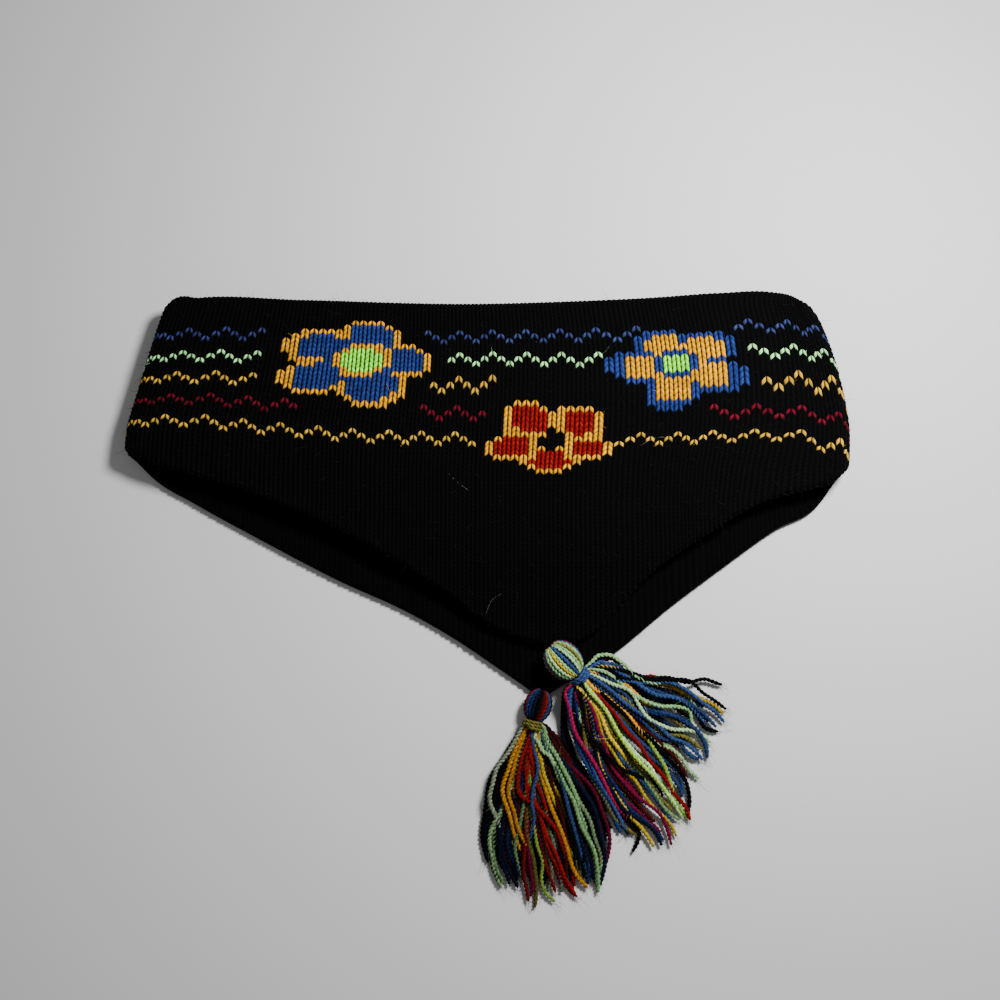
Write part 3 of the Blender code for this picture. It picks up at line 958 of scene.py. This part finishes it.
def yarn_object(name, tubes, dyes_and_painted_shade, node):
    """Tubes as one mesh, where the second half of them is each strand's darker ply."""
    points, triangles, each = tube_mesh(tubes)
    colours = np.concatenate([dyes_and_painted_shade * tint for tint in PLY_TINTS]).repeat(each, axis=0)
    return mesh_object(name, points, triangles, colours, node)[0]


def build_tassel(node, tassel, seed):
    """Four meshes: the skirt's upper and lower strands, the head's strands, and the head's core."""
    dice = np.random.default_rng(seed)
    paths, radii, dyes_and_painted_shade, layers = skirt_strands(tassel, dice)
    phase = dice.uniform(0, 2 * math.pi, len(paths))
    upward = np.broadcast_to(np.array([0.0, 0.0, 1.0]), paths.shape)
    pieces = []
    for name, chosen in (("upper_strands", layers >= 2), ("lower_strands", layers < 2)):
        tubes = twisted_strands(paths[chosen], radii[chosen], upward[chosen], phase[chosen])
        pieces.append(yarn_object(f"{node}_{name}", tubes, dyes_and_painted_shade[chosen], node))
    letters = tassel["head_colours"]
    around = np.linspace(0, 2 * math.pi, len(letters), endpoint=False)[:, None]
    around = around + dice.uniform(-0.05, 0.05, around.shape)
    down = np.linspace(*HEAD_RUN, HEAD_POINTS)[None, :] * math.pi
    head_paths, middle = head_points(tassel, STRAND_INSET, down, around)
    head_radii = YARN_RADIUS * (0.45 + 0.55 * np.sin(down) ** 0.7)
    head_radii = head_radii * dice.uniform(*HEAD_THICKNESS, around.shape)
    phase = dice.uniform(0, 6.3, len(letters))
    head = twisted_strands(head_paths, head_radii, head_paths - middle, phase)
    # The head takes the tassel's colour factor, painted shade on the far one, and is darkened by 0.85
    head_dyes_and_painted_shade = np.array([DYE[letter] for letter in letters]) * tassel["shade"] * HEAD_SHADE
    pieces.append(yarn_object(f"{node}_head_strands", head, head_dyes_and_painted_shade, node))
    ring = np.linspace(0, 2 * math.pi, 20, endpoint=False)[None, :]
    core, _ = head_points(tassel, YARN_RADIUS, np.linspace(0, math.pi, 15)[:, None], ring)
    triangles = grid_triangles(core, ring=True)[:, ::-1]
    # The core stands for the hidden inner strands; its black is painted shade in the gaps between the
    # head's strands
    black = np.tile(DYE["."], (len(triangles), 1))
    name = f"{node}_head_core"
    pieces.append(mesh_object(name, core.reshape(-1, 3), triangles, black, node)[0])
    return pieces, paths, dyes_and_painted_shade


near_pieces, near_paths, near_dyes_and_painted_shade = build_tassel("near_tassel", NEAR_TASSEL, 11)
far_pieces, far_paths, far_dyes_and_painted_shade = build_tassel("far_tassel", FAR_TASSEL, 12)

# %% [markdown]
# ## Ties
#
# The neck of a tassel is bound with a length of its own yarn, pulled tight so that it is thinner
# than the strands. A helix whose turns lie close to each other gives that.

# %% Ties round the necks
TIE_TURNS = 2.3
TIE_YARN = YARN_RADIUS * 0.7
TIE_STEP = TIE_YARN * 1.7
TIE_POINTS = 120


def build_tie(node, tassel, letter):
    """Yarn round the neck: neck + (t - 1/2) turns step along it + r cos, r sin of the turn."""
    axis, side, up = neck_frame(tassel)
    t = np.linspace(0, 1, TIE_POINTS)
    turn = t * TIE_TURNS * 2 * math.pi
    radius = tassel["neck_radius"] + TIE_YARN
    path = (
        np.array(tassel["neck"])
        + ((t - 0.5) * TIE_TURNS * TIE_STEP)[:, None] * axis
        + (radius * np.cos(turn))[:, None] * side
        + (radius * np.sin(turn))[:, None] * up
    )
    outward = np.cos(turn)[:, None] * side + np.sin(turn)[:, None] * up
    tubes = twisted_strands(path[None], np.full((1, len(t)), TIE_YARN), outward[None], np.zeros(1))
    # The tie takes the tassel's colour factor, painted shade on the far one
    dyes_and_painted_shade = DYE[letter][None] * tassel["shade"]
    return yarn_object(f"{node}_tie_yarn", tubes, dyes_and_painted_shade, f"{node}_tie")


ties = [
    build_tie("near_tassel", NEAR_TASSEL, "b"),
    build_tie("far_tassel", FAR_TASSEL, "o"),
]

# %% [markdown]
# ## Fuzz
#
# Wool has loose fibre ends. They stand off the knit, catch the light along its outline, and open
# into a small brush at the end of each cut strand. Each fibre is a three-sided tube a twelfth of a
# millimetre thick, a little coarser than real ones so that it shows.

# %% Fibres
FIBRE_RADIUS = 0.00006
FIBRE_POINTS = 6
FIBRE_SIDES = 3
FIBRE_CURL = 0.6
LOWEST_FIBRE = 0.0002

SLANTED_UP = np.array([0.13, 0.21, 0.97])

# Lengths: on the knit, where one in sixteen is longer, in a brush, and along a strand
KNIT_FIBRE = (0.0007, 0.0024)
LONG_SHARE = 0.06
LONG_TIMES = 1.8
BRUSH_FIBRE = (0.0012, 0.0040)
LOOSE_FIBRE = (0.0007, 0.0018)
BRUSH_SPREAD = (0.34, 0.34, 0.12)
BRUSH_SHADE = 1.1
# Painted sheen: knit fibres are their yarn's colour times 0.9 plus this lift, which shows most on black
KNIT_FIBRE_PAINTED_SHEEN = 0.012
KNIT_FIBRE_COUNTS = (700, 700, 40, 150, 150)


def fibres(roots, directions, lengths, dice, bend=0.5):
    """Paths root + L (t d + bend t^2 e), with d the direction and e a random one."""
    t = np.linspace(0, 1, FIBRE_POINTS)[None, :, None]
    curl = dice.normal(size=(len(roots), 1, 3)) * FIBRE_CURL
    paths = roots[:, None] + lengths[:, None, None] * (t * directions[:, None] + bend * t**2 * curl)
    paths[:, :, 2] = np.maximum(paths[:, :, 2], LOWEST_FIBRE)
    return paths


def fibre_object(name, paths, dyes_and_painted_shade, node):
    """All fibres as one mesh, each a tube that tapers to half its radius."""
    side, up = path_frame(paths, np.broadcast_to(SLANTED_UP, paths.shape))
    radii = np.full(paths.shape[:2], FIBRE_RADIUS) * np.linspace(1, 0.5, paths.shape[1])
    points, triangles, each = tube_mesh(round_tubes(paths, radii, side, up, FIBRE_SIDES))
    return mesh_object(name, points, triangles, dyes_and_painted_shade.repeat(each, axis=0), node)[0]


def knit_fibres(skin, count, dice):
    """Fibres from a skin's triangles, more of them where the knit turns away at its outline.

    A triangle's weight is its area times 0.3 + 12 (1 - |n|)^3, with n the upright part of its normal.
    A fibre leaves along 0.55 of the normal plus half a random direction.
    """
    _, points, triangles, dyes_and_painted_shade = skin
    a, b, c = (points[corner] for corner in triangles.T)
    normal = np.cross(b - a, c - a)
    size = np.linalg.norm(normal, axis=1)
    normal /= np.maximum(size, 1e-15)[:, None]
    weight = size * (0.3 + 12 * (1 - np.abs(normal[:, 2])) ** 3)
    chosen = dice.choice(len(triangles), count, p=weight / weight.sum())
    direction = normal[chosen] * 0.55 + dice.normal(size=(count, 3)) * 0.5
    lengths = dice.uniform(*KNIT_FIBRE, count)
    lengths *= np.where(dice.random(count) < LONG_SHARE, LONG_TIMES, 1.0)
    # Painted sheen: each fibre is a little lighter than black knit
    return fibres(a[chosen], direction, lengths, dice), dyes_and_painted_shade[chosen] * 0.9 + KNIT_FIBRE_PAINTED_SHEEN


def brush_fibres(paths, dyes_and_painted_shade, dice, each=7, along=4):
    """A brush at each strand's end, and a few fibres along it."""
    end = paths[:, -1] - paths[:, -6]
    end /= np.linalg.norm(end, axis=1, keepdims=True)
    roots = paths[:, -3].repeat(each, axis=0)
    spread = dice.normal(size=roots.shape) * BRUSH_SPREAD
    lengths = dice.uniform(*BRUSH_FIBRE, len(roots))
    tips = fibres(roots, end.repeat(each, axis=0) + spread, lengths, dice, bend=0.3)
    strand = np.arange(len(paths)).repeat(along)
    place = dice.integers(12, paths.shape[1] - 2, len(strand))
    off = dice.normal(size=(len(strand), 3)) + (0, 0, 0.5)
    lengths = dice.uniform(*LOOSE_FIBRE, len(strand))
    loose = fibres(paths[strand, place], off, lengths, dice, bend=0.8)
    colours = np.concatenate([dyes_and_painted_shade.repeat(each, axis=0), dyes_and_painted_shade[strand]])
    return np.concatenate([tips, loose]), colours * BRUSH_SHADE


fuzz_dice = np.random.default_rng(21)
band_fibres = [knit_fibres(skin, count, fuzz_dice) for skin, count in zip(skins, KNIT_FIBRE_COUNTS)]
band_paths, band_dyes_and_painted_sheen = (np.concatenate(parts) for parts in zip(*band_fibres))
fuzz = [fibre_object("knit_fuzz", band_paths, band_dyes_and_painted_sheen, "knit_band")]
for node, paths, dyes_and_painted_shade in (("near_tassel", near_paths, near_dyes_and_painted_shade), ("far_tassel", far_paths, far_dyes_and_painted_shade)):
    brushes, brush_dyes_and_painted_shade = brush_fibres(paths, dyes_and_painted_shade, fuzz_dice)
    fuzz.append(fibre_object(f"{node}_fuzz", brushes, brush_dyes_and_painted_shade, node))

# %% [markdown]
# ## Pale stray fibres
#
# A few pale fibres have settled on the black knit. They are followed in the picture, at the
# height of the knit beneath them.

# %% Pale fibres
STRAY_PLACES = """
449,474 453,478 457,482 461,485 464,487 468,490
486,614 488,608 490,603 493,599 497,596 501,594
594,349 597,352 600,354 604,353 607,350 609,346
640,446 648,441 655,438 662,437 668,438 673,441
"""
STRAY_COLOUR = "#74766f"
STRAY_LIFT = 0.0003
FRONT_HEIGHT = 0.0125

# Every fifth point of the front face is close enough for its height
front = np.concatenate([points[::5] for _, points, _, _ in skins[:2]])


def on_knit(places):
    """Sight lines cut at the height of the nearest knit, worked out twice, and lifted a little."""
    height = np.full(len(places), FRONT_HEIGHT)
    for _ in range(2):
        spots = seen_at(places, height)
        gap = np.linalg.norm(front[None, :, :2] - spots[:, None, :2], axis=-1)
        height = front[gap.argmin(axis=1), 2] + STRAY_LIFT
    return seen_at(places, height)


stray_paths = np.array([on_knit(read_places(line)) for line in STRAY_PLACES.strip().splitlines()])
stray_dyes = np.tile(linear(STRAY_COLOUR), (len(stray_paths), 1))
fuzz.append(fibre_object("pale_stray_fibres", stray_paths, stray_dyes, "knit_band"))

# %% [markdown]
# ## Wool
#
# Worsted-spun wool is matt, with a soft sheen where fibres stand off the yarn. The colour comes
# from the stitch, and fine streaks along the strand break it up, which the eye reads as fibre. On
# the knit, shade is painted into the grooves between the legs and rows.

# %% Materials
def add_node(tree, kind, settings=None, links=None):
    """A node with its settings, by property or by socket, and its inputs linked."""
    node = tree.nodes.new(kind)
    for key, value in (settings or {}).items():
        if key in node.inputs:
            node.inputs[key].default_value = value
        else:
            setattr(node, key, value)
    for key, output in (links or {}).items():
        tree.links.new(output, node.inputs[key])
    return node


# Streaks in the knit, per mm across and along the strand: 0.3 mm wide and 2 mm long
KNIT_STREAKS = (3.4, 0.5, 1.0)

# Blotches on a tassel's strands, per metre: 0.7 mm, coarser than real fibres so that they show
STRAND_BLOTCHES = 1400.0


def wool(name, streak_scale, knitted):
    """Dyed wool: the stitch's colour times fibre streaks, painted shade in grooves, and a fine bump."""
    material = bpy.data.materials.new(name)
    material.use_nodes = True
    tree = material.node_tree
    shader = tree.nodes["Principled BSDF"]
    shader.inputs["Roughness"].default_value = 0.9
    shader.inputs["Sheen Weight"].default_value = 0.01
    shader.inputs["Sheen Roughness"].default_value = 0.4
    shader.inputs["Specular IOR Level"].default_value = 0.05
    dye = add_node(tree, "ShaderNodeAttribute", {"attribute_name": "yarn_colour"})
    if knitted:
        place = add_node(tree, "ShaderNodeUVMap", {"uv_map": "strand"}).outputs["UV"]
        stretch = KNIT_STREAKS
    else:
        place = add_node(tree, "ShaderNodeTexCoord").outputs["Object"]
        stretch = (1.0, 1.0, 1.0)
    mapping = add_node(tree, "ShaderNodeMapping", {"Scale": stretch}, {"Vector": place})
    streak = add_node(
        tree,
        "ShaderNodeTexNoise",
        {"Scale": streak_scale, "Detail": 4.0, "Roughness": 0.65},
        {"Vector": mapping.outputs["Vector"]},
    )
    light = add_node(
        tree,
        "ShaderNodeMapRange",
        {"From Min": 0.32, "From Max": 0.68, "To Min": 0.42, "To Max": 1.5},
        {"Value": streak.outputs["Fac"]},
    )
    shade = light.outputs["Result"]
    if knitted:
        # Painted shade: the colour darkens to almost black the deeper a point lies in a groove
        hollow = add_node(tree, "ShaderNodeAttribute", {"attribute_name": "hollow"})
        painted_groove_shade = add_node(
            tree,
            "ShaderNodeMapRange",
            {"From Min": 0.05, "From Max": 0.72, "To Min": 1.1, "To Max": 0.02},
            {"Value": hollow.outputs["Fac"]},
        )
        shade = add_node(
            tree, "ShaderNodeMath", {"operation": "MULTIPLY"}, {0: shade, 1: painted_groove_shade.outputs["Result"]}
        ).outputs["Value"]
    tint = add_node(
        tree, "ShaderNodeVectorMath", {"operation": "SCALE"}, {0: dye.outputs["Color"], "Scale": shade}
    )
    bump = add_node(
        tree, "ShaderNodeBump", {"Strength": 0.5, "Distance": 0.0003}, {"Height": streak.outputs["Fac"]}
    )
    tree.links.new(tint.outputs["Vector"], shader.inputs["Base Color"])
    tree.links.new(bump.outputs["Normal"], shader.inputs["Normal"])
    return material


# Knitted, the wool reads as rows of small matt legs, with shade painted into the gaps between them
stitch_wool = wool("worsted_wool_knitted", 1.0, knitted=True)

# Loose, it reads as soft twisted cord, a little mottled along each strand
strand_wool = wool("worsted_wool_strands", STRAND_BLOTCHES, knitted=False)
for piece in knit_pieces:
    piece.data.materials.append(stitch_wool)
for piece in (*near_pieces, *far_pieces, *ties, *fuzz):
    piece.data.materials.append(strand_wool)

# %% [markdown]
# ## Table and light
#
# A plain white table and one soft light from the upper right, with a pale room round it. The light
# is a small round one close by, so the shadows are dark under the edge and soften away from it.

# %% Stage
FLOOR = 3.0
TABLE_COLOUR = "#cccccc"
ROOM_STRENGTH = 0.24
WINDOW_SIZE = 0.09
WINDOW_POWER = 3.0
WINDOW_PLACE = (0.175, 0.165, 0.30)

floor_mesh = bpy.data.meshes.new("table")
floor_mesh.from_pydata(
    [(-FLOOR, -FLOOR, 0), (FLOOR, -FLOOR, 0), (FLOOR, FLOOR, 0), (-FLOOR, FLOOR, 0)], [], [(0, 1, 2, 3)]
)
floor = bpy.data.objects.new("table", floor_mesh)
bpy.context.scene.collection.objects.link(floor)

# Matt paint, which shows the shadow and no reflection
paint = bpy.data.materials.new("matt_white_table")
paint.use_nodes = True
surface = paint.node_tree.nodes["Principled BSDF"]
surface.inputs["Base Color"].default_value = (*linear(TABLE_COLOUR), 1)
surface.inputs["Roughness"].default_value = 0.9
floor_mesh.materials.append(paint)

world = bpy.data.worlds.new("room")
world.use_nodes = True
sky = world.node_tree.nodes["Background"]
sky.inputs["Color"].default_value = (1.0, 1.0, 1.0, 1)
sky.inputs["Strength"].default_value = ROOM_STRENGTH
bpy.context.scene.world = world

lamp = bpy.data.lights.new("window", "AREA")
lamp.shape = "DISK"
lamp.size = WINDOW_SIZE
lamp.energy = WINDOW_POWER
window = bpy.data.objects.new("window", lamp)
window.location = WINDOW_PLACE
window.visible_camera = False
aim = np.subtract(TARGET, WINDOW_PLACE)
window.rotation_euler = (
    math.atan2(math.hypot(aim[0], aim[1]), -aim[2]),
    0,
    math.atan2(aim[1], aim[0]) - math.pi / 2,
)
bpy.context.scene.collection.objects.link(window)
print("light at", WINDOW_PLACE, "with", WINDOW_POWER, "W")
